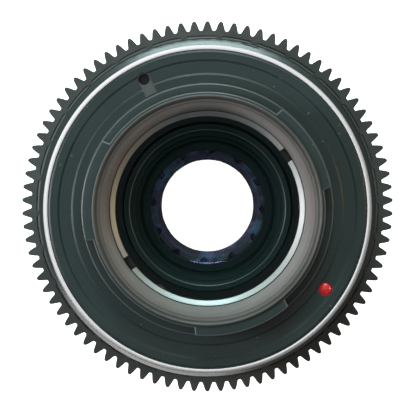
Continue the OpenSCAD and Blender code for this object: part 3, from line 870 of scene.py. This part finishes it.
@dataclass
class FocusGear(SubAssembly):
    """Follow-focus gear with eased edges, ribs in its bore and the sloped seat under them."""

    span: Point = heights("focus_gear")
    teeth: int = 86
    module: float = 0.8
    pressure: float = 20.0
    dedendum: float = 1.25
    phase: float = 2.07
    # Share of the tooth's height, and its width there as a share of the involute's
    stations: Points = (
        (0.02, 1.12), (0.09, 1.03), (0.3, 1.0), (0.6, 0.99), (0.85, 0.93), (0.96, 0.76), (1.0, 0.42))
    bore: float = 32.4
    rib_count: int = 30
    rib_height: float = 0.4
    rib_phase: float = 2.0
    rib_half_width: float = 0.72
    rib_flank: float = 0.3
    web_radius: float = 32.9
    edge: float = 0.13
    seat_radii: Point = (31.96, 32.38)
    # The seat's crest, edge and foot below the gear's top
    seat_drops: tuple[float, float, float] = (0.02, 0.2, 1.5)

    @property
    def pitch_radius(self) -> float:
        """Radius of the pitch circle."""
        return self.module * self.teeth / 2

    def half_tooth(self, radius: float) -> float:
        """Works out half the angle of a tooth.

        Args:
            radius: Where on the tooth.

        Returns:
            The angle in degrees.
        """
        base = self.pitch_radius * math.cos(math.radians(self.pressure))
        lean = math.degrees(math.acos(min(1.0, base / radius)))
        involute = [math.degrees(math.tan(math.radians(a))) - a for a in (self.pressure, lean)]
        return 90 / self.teeth + involute[0] - involute[1]

    def bore_radius(self, angle: float) -> float:
        """Works out the radius of the bore with its ribs.

        Args:
            angle: Where on the bore, in degrees.

        Returns:
            The radius.
        """
        pitch = 360 / self.rib_count
        off = abs((angle - self.rib_phase + pitch / 2) % pitch - pitch / 2)
        share = (self.rib_half_width - math.radians(off) * self.bore) / self.rib_flank
        return self.bore - self.rib_height * min(1.0, max(0.0, share))

    def outline(self) -> list[Point]:
        """Draws the outer outline tooth by tooth.

        Returns:
            Its points as radius and angle in degrees.
        """
        root = self.pitch_radius - self.dedendum * self.module
        tip = self.pitch_radius + self.module
        rise = [(root + (tip - root) * share, width) for share, width in self.stations]
        made: list[Point] = []
        for tooth in range(self.teeth):
            middle = self.phase + tooth * 360 / self.teeth
            made += [(r, middle - self.half_tooth(r) * width) for r, width in rise]
            made += [(r, middle + self.half_tooth(r) * width) for r, width in reversed(rise)]
        return made

    def on_one_rim(self, one: Vector, two: Vector) -> bool:
        """Says whether an edge between two points runs along a rim of the bore or of the teeth."""
        outside = [spot.xy.length > self.web_radius * MM for spot in (one, two)]
        return abs(one.z - two.z) < LEVEL and outside[0] == outside[1]

    def cut_gear(self) -> Object:
        """Bridges the outline to the bore, draws it out and eases its edges.

        Returns:
            The gear.
        """
        low, high = self.span
        outer = [(radius, math.radians(angle)) for radius, angle in self.outline()]
        inner = [(self.bore_radius(math.degrees(angle)), angle) for _, angle in outer]
        rims = [[(r * math.cos(a), r * math.sin(a), low) for r, a in rim] for rim in (outer, inner)]
        gear = join([loop(rim, "gear_rim") for rim in rims], "focus_gear_cut")
        edit(gear)
        bpy.ops.mesh.bridge_edge_loops()
        bpy.ops.mesh.select_all(action="SELECT")
        bpy.ops.mesh.extrude_region_move(TRANSFORM_OT_translate={"value": (0, 0, (high - low) * MM)})
        tidy_mesh(gear)
        choose_edges(gear, self.on_one_rim)
        bpy.ops.mesh.bevel(offset=self.edge * MM, segments=2, affect="EDGES", clamp_overlap=True)
        return tidy_mesh(gear, angle=28.0)

    def build(self) -> None:
        """Cuts the gear and turns its seat."""
        self.add(self.cut_gear(), Body.FOCUS, Slot.GEAR, "focus_gear")
        inner, outer = self.seat_radii
        crest, edge, foot = (self.span[1] - drop for drop in self.seat_drops)
        seat = lathe("gear_seat", [(inner, crest), (outer, edge), (outer, foot), (inner, foot)])
        # The seat's finish is lightened as painted light
        self.add(seat, Body.FOCUS, Slot.BODY, skins=(Extra.SEAT_PAINTED_LIGHT,))


@dataclass
class FocusGrip(SubAssembly):
    """Rubber sleeve with a plain band at each end and rows of rounded studs between them."""

    span: Point = heights("focus_grip")
    inner: float = 31.97
    floor: float = 32.35
    outer: float = 33.0
    band_height: float = 0.3
    band_width: float = 0.7
    band_slope: float = 0.2
    corner: float = 0.2
    columns: int = 72
    rows: int = 6
    margin: float = 1.0
    gap: float = 0.42
    stud_width: float = 1.85
    stud_root: float = 0.3
    stud_clearance: float = 0.01
    stud_edge: float = 0.24

    def sleeve(self) -> Object:
        """Turns the sleeve with its bands.

        Returns:
            The sleeve.
        """
        low, high = self.span
        rim = self.floor + self.band_height
        inset = self.band_width + self.band_slope
        return lathe("grip_sleeve", eased([
            (self.inner, low), (rim, low), (rim, low + self.band_width), (self.floor, low + inset),
            (self.floor, high - inset), (rim, high - self.band_width), (rim, high), (self.inner, high)],
            self.corner))

    def studs(self) -> list[Object]:
        """Makes one stud and sets copies of it round the sleeve in rows.

        Returns:
            The copies.
        """
        start, end = self.span[0] + self.margin, self.span[1] - self.margin
        step = (end - start + self.gap) / self.rows
        size = Vector((self.outer - self.floor + self.stud_root, self.stud_width, step - self.gap))
        stud = bevel_box(size, self.stud_edge, segments=2, name="grip_stud")
        radius = self.outer - size.x / 2 - self.stud_clearance
        made = []
        for column in range(self.columns):
            turn = Matrix.Rotation(math.tau * column / self.columns, 4, "Z")
            for row in range(self.rows):
                spot = Vector((radius, 0, start + step * row + size.z / 2)) * MM
                copy = stud.copy()
                copy.data = stud.data.copy()
                copy.data.transform(turn @ Matrix.Translation(spot))
                bpy.context.collection.objects.link(copy)
                made.append(copy)
        bpy.data.objects.remove(stud)
        return made

    def build(self) -> None:
        """Joins the sleeve and its studs."""
        grip = join([self.sleeve(), *self.studs()], "focus_grip_rubber")
        self.add(grip, Body.FOCUS, Slot.GRIP, "focus_grip")


@dataclass(frozen=True)
class Row:
    """A row of marks of one height on a ring, whose cone is the growth of its radius over height."""

    height: float
    radius: float
    size: float
    cone: float = 0.0


@dataclass
class Scales(SubAssembly):
    """Engraved and painted distance and stop scales with their index lines."""

    index_angle: float = 270.0
    focal_length: float = 85.0
    block_travel: float = 8.0
    focus_turn: float = 180.0
    stop_turns: Point = (-6.9, 40.1)
    unit_turn: float = 9.0
    foot: float = 0.3048
    # -1 sets the marks upright for someone behind the camera
    way: int = -1
    # Width and depth of the lines
    line: Point = (0.24, 0.1)
    line_edge: float = 0.03
    half_depth: float = 0.05
    far: str = "∞"
    stops: str = "1.4 2 2.8 4 5.6 8 11 16 22"
    metres: str = "20 10 7 5 4 3 2.5 2 1.8 1.6 1.4 1.3 1.2 1.1"
    feet: str = "60 30 20 15 12 10 8 7 6 5 4.5 4 3.7"
    metre_row: Row = Row(19.75, 32.56, 1.7)
    far_row: Row = Row(20.7, 32.56, 2.4)
    distance_lines: Row = Row(17.95, 32.56, 1.4)
    feet_row: Row = Row(22.2, 32.56, 1.7)
    stop_row: Row = Row(64.3, 30.87, 2.0, -0.0125)
    stop_lines: Row = Row(61.9, 30.9, 1.5, -0.0125)
    index_lines: tuple[Row, ...] = (Row(57.9, 31.22, 2.6, -0.127), Row(14.75, 33.0, 1.2))

    def focus_angle(self, distance: float) -> float:
        """Works out the turn of the focus ring.

        Args:
            distance: Distance from the subject to the image in metres.

        Returns:
            The turn in degrees.
        """
        ratio = distance / (self.focal_length * MM) - 2
        enlargement = (ratio - math.sqrt(ratio * ratio - 4)) / 2
        return self.focus_turn * self.focal_length * enlargement / self.block_travel

    def wrap(self, flat: Object, angle: float, row: Row) -> None:
        """Lays a flat mark round a ring.

        Args:
            flat: A mark drawn about the origin in the plane of X and Y, its depth along Z.
            angle: Its angle round the axis in degrees.
            row: The row it stands in.
        """
        for vertex in flat.data.vertices:
            along, up, out = vertex.co / MM
            turn = math.radians(angle) + self.way * along / row.radius
            reach = row.radius + row.cone * self.way * up + out
            spot = Vector((reach * math.cos(turn), reach * math.sin(turn), row.height + self.way * up))
            vertex.co = spot * MM

    def word(self, text: str, size: float) -> Object:
        """Draws characters flat about the origin.

        Args:
            text: The characters.
            size: Their height in millimetres.

        Returns:
            The characters as a mesh.
        """
        only()
        bpy.ops.object.text_add(location=(0, 0, 0))
        curve = bpy.context.object.data
        curve.body = text
        curve.align_x, curve.align_y = "CENTER", "CENTER"
        curve.size = size * MM
        curve.extrude = self.half_depth * MM
        curve.resolution_u = 4
        bpy.ops.object.convert(target="MESH")
        return bpy.context.object

    def draw(self, marks: list[Mark], name: str) -> Object:
        """Sets words and lines round a ring and joins them.

        Args:
            marks: Text, or a bar for a line, with its angle and its row.
            name: Name of the object.

        Returns:
            The joined marks.
        """
        made = []
        width, depth = self.line
        for text, angle, row in marks:
            if text == LINE:
                flat = bevel_box(Vector((width, row.size, depth)), self.line_edge, segments=1, name="line")
            else:
                flat = self.word(text, row.size)
            self.wrap(flat, angle, row)
            made.append(flat)
        return tidy_mesh(join(made, name))

    def build(self) -> None:
        """Marks the distance ring, the aperture ring and the fixed rings beside them."""
        start, units = self.index_angle, self.index_angle + self.unit_turn
        metres, feet, stops = (texts.split() for texts in (self.metres, self.feet, self.stops))
        at_metres = [start - self.focus_angle(float(text)) for text in metres]
        at_feet = [start - self.focus_angle(float(text) * self.foot) for text in feet]
        first, last = self.stop_turns
        step = (last - first) / (len(stops) - 1)
        at_stops = [start - first - step * number for number in range(len(stops))]
        white = [*zip(metres, at_metres, repeat(self.metre_row)), (self.far, start, self.far_row),
                 *zip(repeat(LINE), [start, *at_metres], repeat(self.distance_lines)),
                 ("m", units, self.metre_row)]
        amber = [*zip(feet, at_feet, repeat(self.feet_row)), ("ft", units, self.feet_row)]
        openings = [*zip(stops, at_stops, repeat(self.stop_row)),
                    *zip(repeat(LINE), at_stops, repeat(self.stop_lines))]
        index = [(LINE, start, row) for row in self.index_lines]
        for marks, name, body, skin in (
                (white, "distance_scale_metres", Body.FOCUS, Extra.WHITE),
                (amber, "distance_scale_feet", Body.FOCUS, Extra.AMBER),
                (openings, "stop_scale", Body.IRIS, Extra.WHITE),
                (index, "index_lines", Body.BARREL, Extra.WHITE)):
            self.add(self.draw(marks, name), body, Slot.BODY, skins=(skin,))


@dataclass
class FrontBore(SubAssembly):
    """Filter thread in the front rim and the ridged baffle behind it."""

    bore: float = 29.0
    thread_span: Point = (0.7, 4.9)
    thread_gap: float = 0.01
    thread_root: float = 0.12
    thread_turns: int = 7
    thread_depth: float = 0.34
    baffle_back: Points = ((25.42, 8.98), (28.2, 5.22))
    baffle_face: tuple[Point, Point] = ((28.1, 5.16), (25.36, 8.9))
    slat_count: int = 9
    slat_depth: float = 0.2

    def build(self) -> None:
        """Turns the thread and the baffle."""
        low, high = self.thread_span
        back, root = self.bore - self.thread_gap, self.bore - self.thread_root
        threads = ridges((root, low), (root, high), self.thread_turns, self.thread_depth)
        slats = ridges(*self.baffle_face, self.slat_count, -self.slat_depth)
        for name, section in (("filter_thread", [(back, high), (back, low), *threads]),
                              ("front_baffle", [*self.baffle_back, *slats[1:]])):
            self.add(lathe(name, section, angle=20.0), Body.BARREL, Slot.INSIDE)


@dataclass
class Throat(SubAssembly):
    """Grey turned cone that lines the bayonet tube."""

    span: Point = heights("throat_sleeve")
    # Inner radii at the foot and the mouth, outer radius and that of the lip over the tube
    foot: float = 18.05
    mouth: float = 20.0
    outer: float = 20.25
    lip: float = 20.9
    # Width and height of the flare over the mouth
    flare: Point = (0.5, 0.6)
    lip_depth: float = 0.45
    chamfer: float = 0.1
    corner: float = 0.1
    grooves: tuple[float, ...] = (70.4, 74.6)
    # Points of a groove from its lower edge, as depth and height
    groove: Points = ((0.0, 0.0), (0.035, 0.08), (0.075, 0.22), (0.05, 0.27))

    def build(self) -> None:
        """Turns the cone with its fine grooves."""
        low, top = self.span
        neck, seat = top - self.flare[1], top - self.lip_depth
        slope = (self.mouth - self.foot) / (neck - low)
        face: list[Point] = []
        for height in self.grooves:
            radius = self.foot + slope * (height - low)
            face += [(radius + deep, height + up) for deep, up in self.groove]
        section = eased([
            (self.outer, low), (self.outer, seat), (self.lip, seat), (self.lip, top - self.chamfer),
            (self.lip - self.chamfer, top), (self.mouth + self.flare[0], top), (self.mouth, neck)],
            self.corner)
        cone = lathe("throat_cone", [*section, *face[::-1], (self.foot, low)], angle=25.0)
        self.add(cone, Body.BARREL, Slot.THROAT, "throat_sleeve")


@dataclass(frozen=True)
class RidgedStep:
    """One step of the rear cell's funnel: its eased edge, and the ridges along a line below that."""

    edge: Points
    line: tuple[Point, Point]
    count: int
    depth: float


@dataclass
class RearCell(SubAssembly):
    """Black stepped funnel round the rear glass with fine ridges against stray light, its outside lightened as
    painted light.
    """

    outside_section: Points = (
        (10.6, 47.2), (16.95, 47.2), (16.95, 50.05), (19.6, 50.05), (19.6, 51.2), (16.2, 51.2), (15.6, 59.4),
        (15.5, 59.5))
    rim: float = heights("rear_cell")[1]
    # The rim's inner edge takes rubbed dye lightened as a painted highlight
    worn_edge: Point = (14.66, 59.41)
    edge_bore: float = 14.54
    steps: tuple[RidgedStep, ...] = (
        RidgedStep((), ((14.5, 59.0), (14.2, 57.5)), 3, 0.14),
        RidgedStep(((13.62, 57.5), (13.58, 57.42)), ((13.56, 57.2), (13.3, 55.5)), 4, 0.12),
        RidgedStep(((12.82, 55.5), (12.78, 55.42)), ((12.76, 55.2), (12.6, 53.5)), 4, 0.1))
    seat_section: Points = (
        (12.45, 53.5), (12.45, 50.158), (11.4, 50.158), (11.4, 47.757), (10.6, 47.757))
    outside_radius: float = 15.52

    def finish_at(self, face: MeshPolygon) -> CellSlot:
        """Chooses the finish of a face.

        Args:
            face: The face.

        Returns:
            Its material slot.
        """
        radius, height = face.center.xy.length / MM, face.center.z / MM
        if radius < self.worn_edge[0] and height > self.worn_edge[1]:
            return CellSlot.WORN_AND_HIGHLIT
        # Outer faces take the finish that is lightened as painted light
        return CellSlot.OUTSIDE if radius > self.outside_radius else CellSlot.INSIDE

    def build(self) -> None:
        """Turns the cell and chooses the finish of its faces."""
        section = [*self.outside_section, (self.worn_edge[0], self.rim), (self.edge_bore, self.worn_edge[1])]
        for step in self.steps:
            section += [*step.edge, *ridges(*step.line, step.count, -step.depth)]
        cell = lathe("rear_cell_turned", [*section, *self.seat_section], angle=22.0)
        for face in cell.data.polygons:
            face.material_index = self.finish_at(face)
        self.add(cell, Body.BLOCK, Slot.INSIDE, "rear_cell", (Slot.INSIDE, Extra.CELL_PAINTED_LIGHT, Extra.WORN_AND_HIGHLIT))


@dataclass(frozen=True)
class Element:
    """One piece of glass, which stands for a solid."""

    name: str
    node: str
    radius: float
    # Height of each face's vertex, and the face's radius with its sign, or 0 where it is flat
    front: Point
    back: Point

    def section(self, steps: int = 20) -> list[Point]:
        """Draws the half section from the axis round the edge and back.

        Args:
            steps: Segments of each face.

        Returns:
            Its points as radius and height.
        """
        way_out = [self.radius * step / steps for step in range(steps + 1)]
        made: list[Point] = []
        for (vertex, curve), path in ((self.front, way_out), (self.back, way_out[::-1])):
            for radius in path:
                sag = abs(curve) - math.sqrt(curve ** 2 - radius ** 2) if curve else 0.0
                made.append((radius, vertex + math.copysign(sag, curve)))
        return made


@dataclass
class Optics(SubAssembly):
    """The four glasses with blackened edges."""

    elements: tuple[Element, ...] = (
        Element("front_glass", "front_element", 20.55, (15.5, 50.0), (21.5, 0.0)),
        Element("second_glass", "second_element", 17.5, (22.5, 32.0), (26.5, 60.0)),
        Element("third_glass", "third_element", 13.5, (31.0, -80.0), (33.0, 22.0)),
        Element("rear_glass", "rear_element", 11.3, (47.0, 70.0), (51.5, -45.0)))
    violet: str = "rear_element"
    painted_slot: int = 1
    side_normal: float = 0.1
    slack: float = 0.05

    def build(self) -> None:
        """Spins each glass and paints its edge."""
        for element in self.elements:
            glass = lathe(element.name, element.section(), angle=30.0)
            rim = (element.radius - self.slack) * MM
            for face in glass.data.polygons:
                if abs(face.normal.z) < self.side_normal and face.center.xy.length > rim:
                    face.material_index = self.painted_slot
            coated = Extra.VIOLET if element.node == self.violet else Slot.GLASS
            self.add(glass, Body.BLOCK, Slot.GLASS, element.node, (coated, Extra.PAINTED))


# Stage

@dataclass(frozen=True)
class Lamp:
    """One soft rectangular light, in metres and watts."""

    name: str
    place: Place
    size: Point
    colour: Colour
    power: float

    def build(self, target: Vector) -> None:
        """Adds the light and turns it to a target.

        Args:
            target: The target in metres.
        """
        light = bpy.data.lights.new(self.name, "AREA")
        light.shape = "RECTANGLE"
        light.size, light.size_y = self.size
        light.color = self.colour
        light.energy = self.power
        lamp = bpy.data.objects.new(self.name, light)
        bpy.context.collection.objects.link(lamp)
        lamp.location = self.place
        lamp.rotation_euler = (target - lamp.location).to_track_quat("-Z", "Y").to_euler()


@dataclass
class Stage:
    """Pale glowing table, soft lights and the camera above the mount, in metres."""

    table_size: float = 4.0
    table_drop: float = 0.0002
    table_colour: Colour = (0.85, 0.85, 0.85)
    table_glow: float = 1.3
    sky: Colour = (0.96, 1.0, 1.0)
    sky_strength: float = 0.13
    camera_place: Place = (0.0001, 0.01272, 0.552)
    aim: Place = (0.0001, -0.00024, 0.052)
    # The camera's focal length and the picture's width in the same pixels
    focal_pixels: float = 2634.0
    frame_pixels: float = 416.0
    # In millimetres, as the camera's settings want it
    sensor_width: float = 36.0
    nearest: float = 0.01
    lamp_target: Place = (0.0, 0.0, 0.06)
    lamps: tuple[Lamp, ...] = (
        Lamp("cool_window", (0.0, 0.75, 0.62), (0.5, 0.35), (0.76, 1.0, 0.97), 7.0),
        Lamp("left_lamp", (-0.72, 0.02, 0.52), (0.3, 0.3), (1.0, 1.0, 1.0), 5.2),
        Lamp("right_warm_lamp", (0.72, 0.08, 0.6), (0.16, 0.14), (1.0, 0.64, 0.32), 1.35),
        Lamp("overhead", (-0.19, 0.27, 1.33), (1.0, 0.9), (1.0, 1.0, 1.0), 2.8),
        Lamp("low_window", (-0.004, 0.11, -0.02), (0.09, 0.06), (0.78, 1.0, 1.0), 0.11),
        Lamp("low_fill", (-0.042, -0.095, -0.02), (0.13, 0.06), (1.0, 0.96, 0.94), 0.07))

    def build_table(self) -> None:
        """Adds the table, which glows directly and through glass but lights and mirrors nothing."""
        only()
        bpy.ops.mesh.primitive_plane_add(size=self.table_size, location=(0, 0, -self.table_drop))
        table = bpy.context.object
        table.name = "pale_table"
        table.data.materials.append(Graph("pale_table").surface({
            "Base Color": self.table_colour, "Roughness": 0.7,
            "Emission Color": (1.0, 1.0, 1.0), "Emission Strength": self.table_glow}))
        table.visible_diffuse = table.visible_glossy = table.visible_shadow = False

    def build_world(self) -> None:
        """Adds the room's faint light."""
        world = bpy.data.worlds.new("soft_room")
        world.use_nodes = True
        background = world.node_tree.nodes["Background"]
        background.inputs[0].default_value = (*self.sky, 1.0)
        background.inputs[1].default_value = self.sky_strength
        bpy.context.scene.world = world

    def build_camera(self) -> None:
        """Adds the camera and turns it to its aim."""
        lens = bpy.data.cameras.new("rear_view")
        lens.sensor_fit = "HORIZONTAL"
        lens.sensor_width = self.sensor_width
        lens.lens = self.sensor_width * self.focal_pixels / self.frame_pixels
        lens.clip_start = self.nearest
        camera = bpy.data.objects.new("rear_view", lens)
        bpy.context.collection.objects.link(camera)
        camera.location = self.camera_place
        down = Vector(self.aim) - camera.location
        camera.rotation_euler = (math.atan2(down.y, -down.z), 0.0, 0.0)
        bpy.context.scene.camera = camera

    def build(self) -> None:
        """Adds the table, the world, the lights and the camera."""
        self.build_table()
        self.build_world()
        for lamp in self.lamps:
            lamp.build(Vector(self.lamp_target))
        self.build_camera()
        bpy.context.scene.view_settings.view_transform = "Standard"


def main() -> None:
    """Builds and dresses the lens."""
    logging.basicConfig(level=logging.INFO, format="%(message)s")
    palette = Palette()
    kinds: tuple[type[SubAssembly], ...] = (
        Solids, EasedSolids, Mount, Bezel, FocusGear, FocusGrip, Scales, FrontBore, Throat, RearCell, Optics)
    for kind in kinds:
        group = kind(palette)
        group.build()
        group.report()
    Stage().build()
    only()


if __name__ == "__main__":
    main()
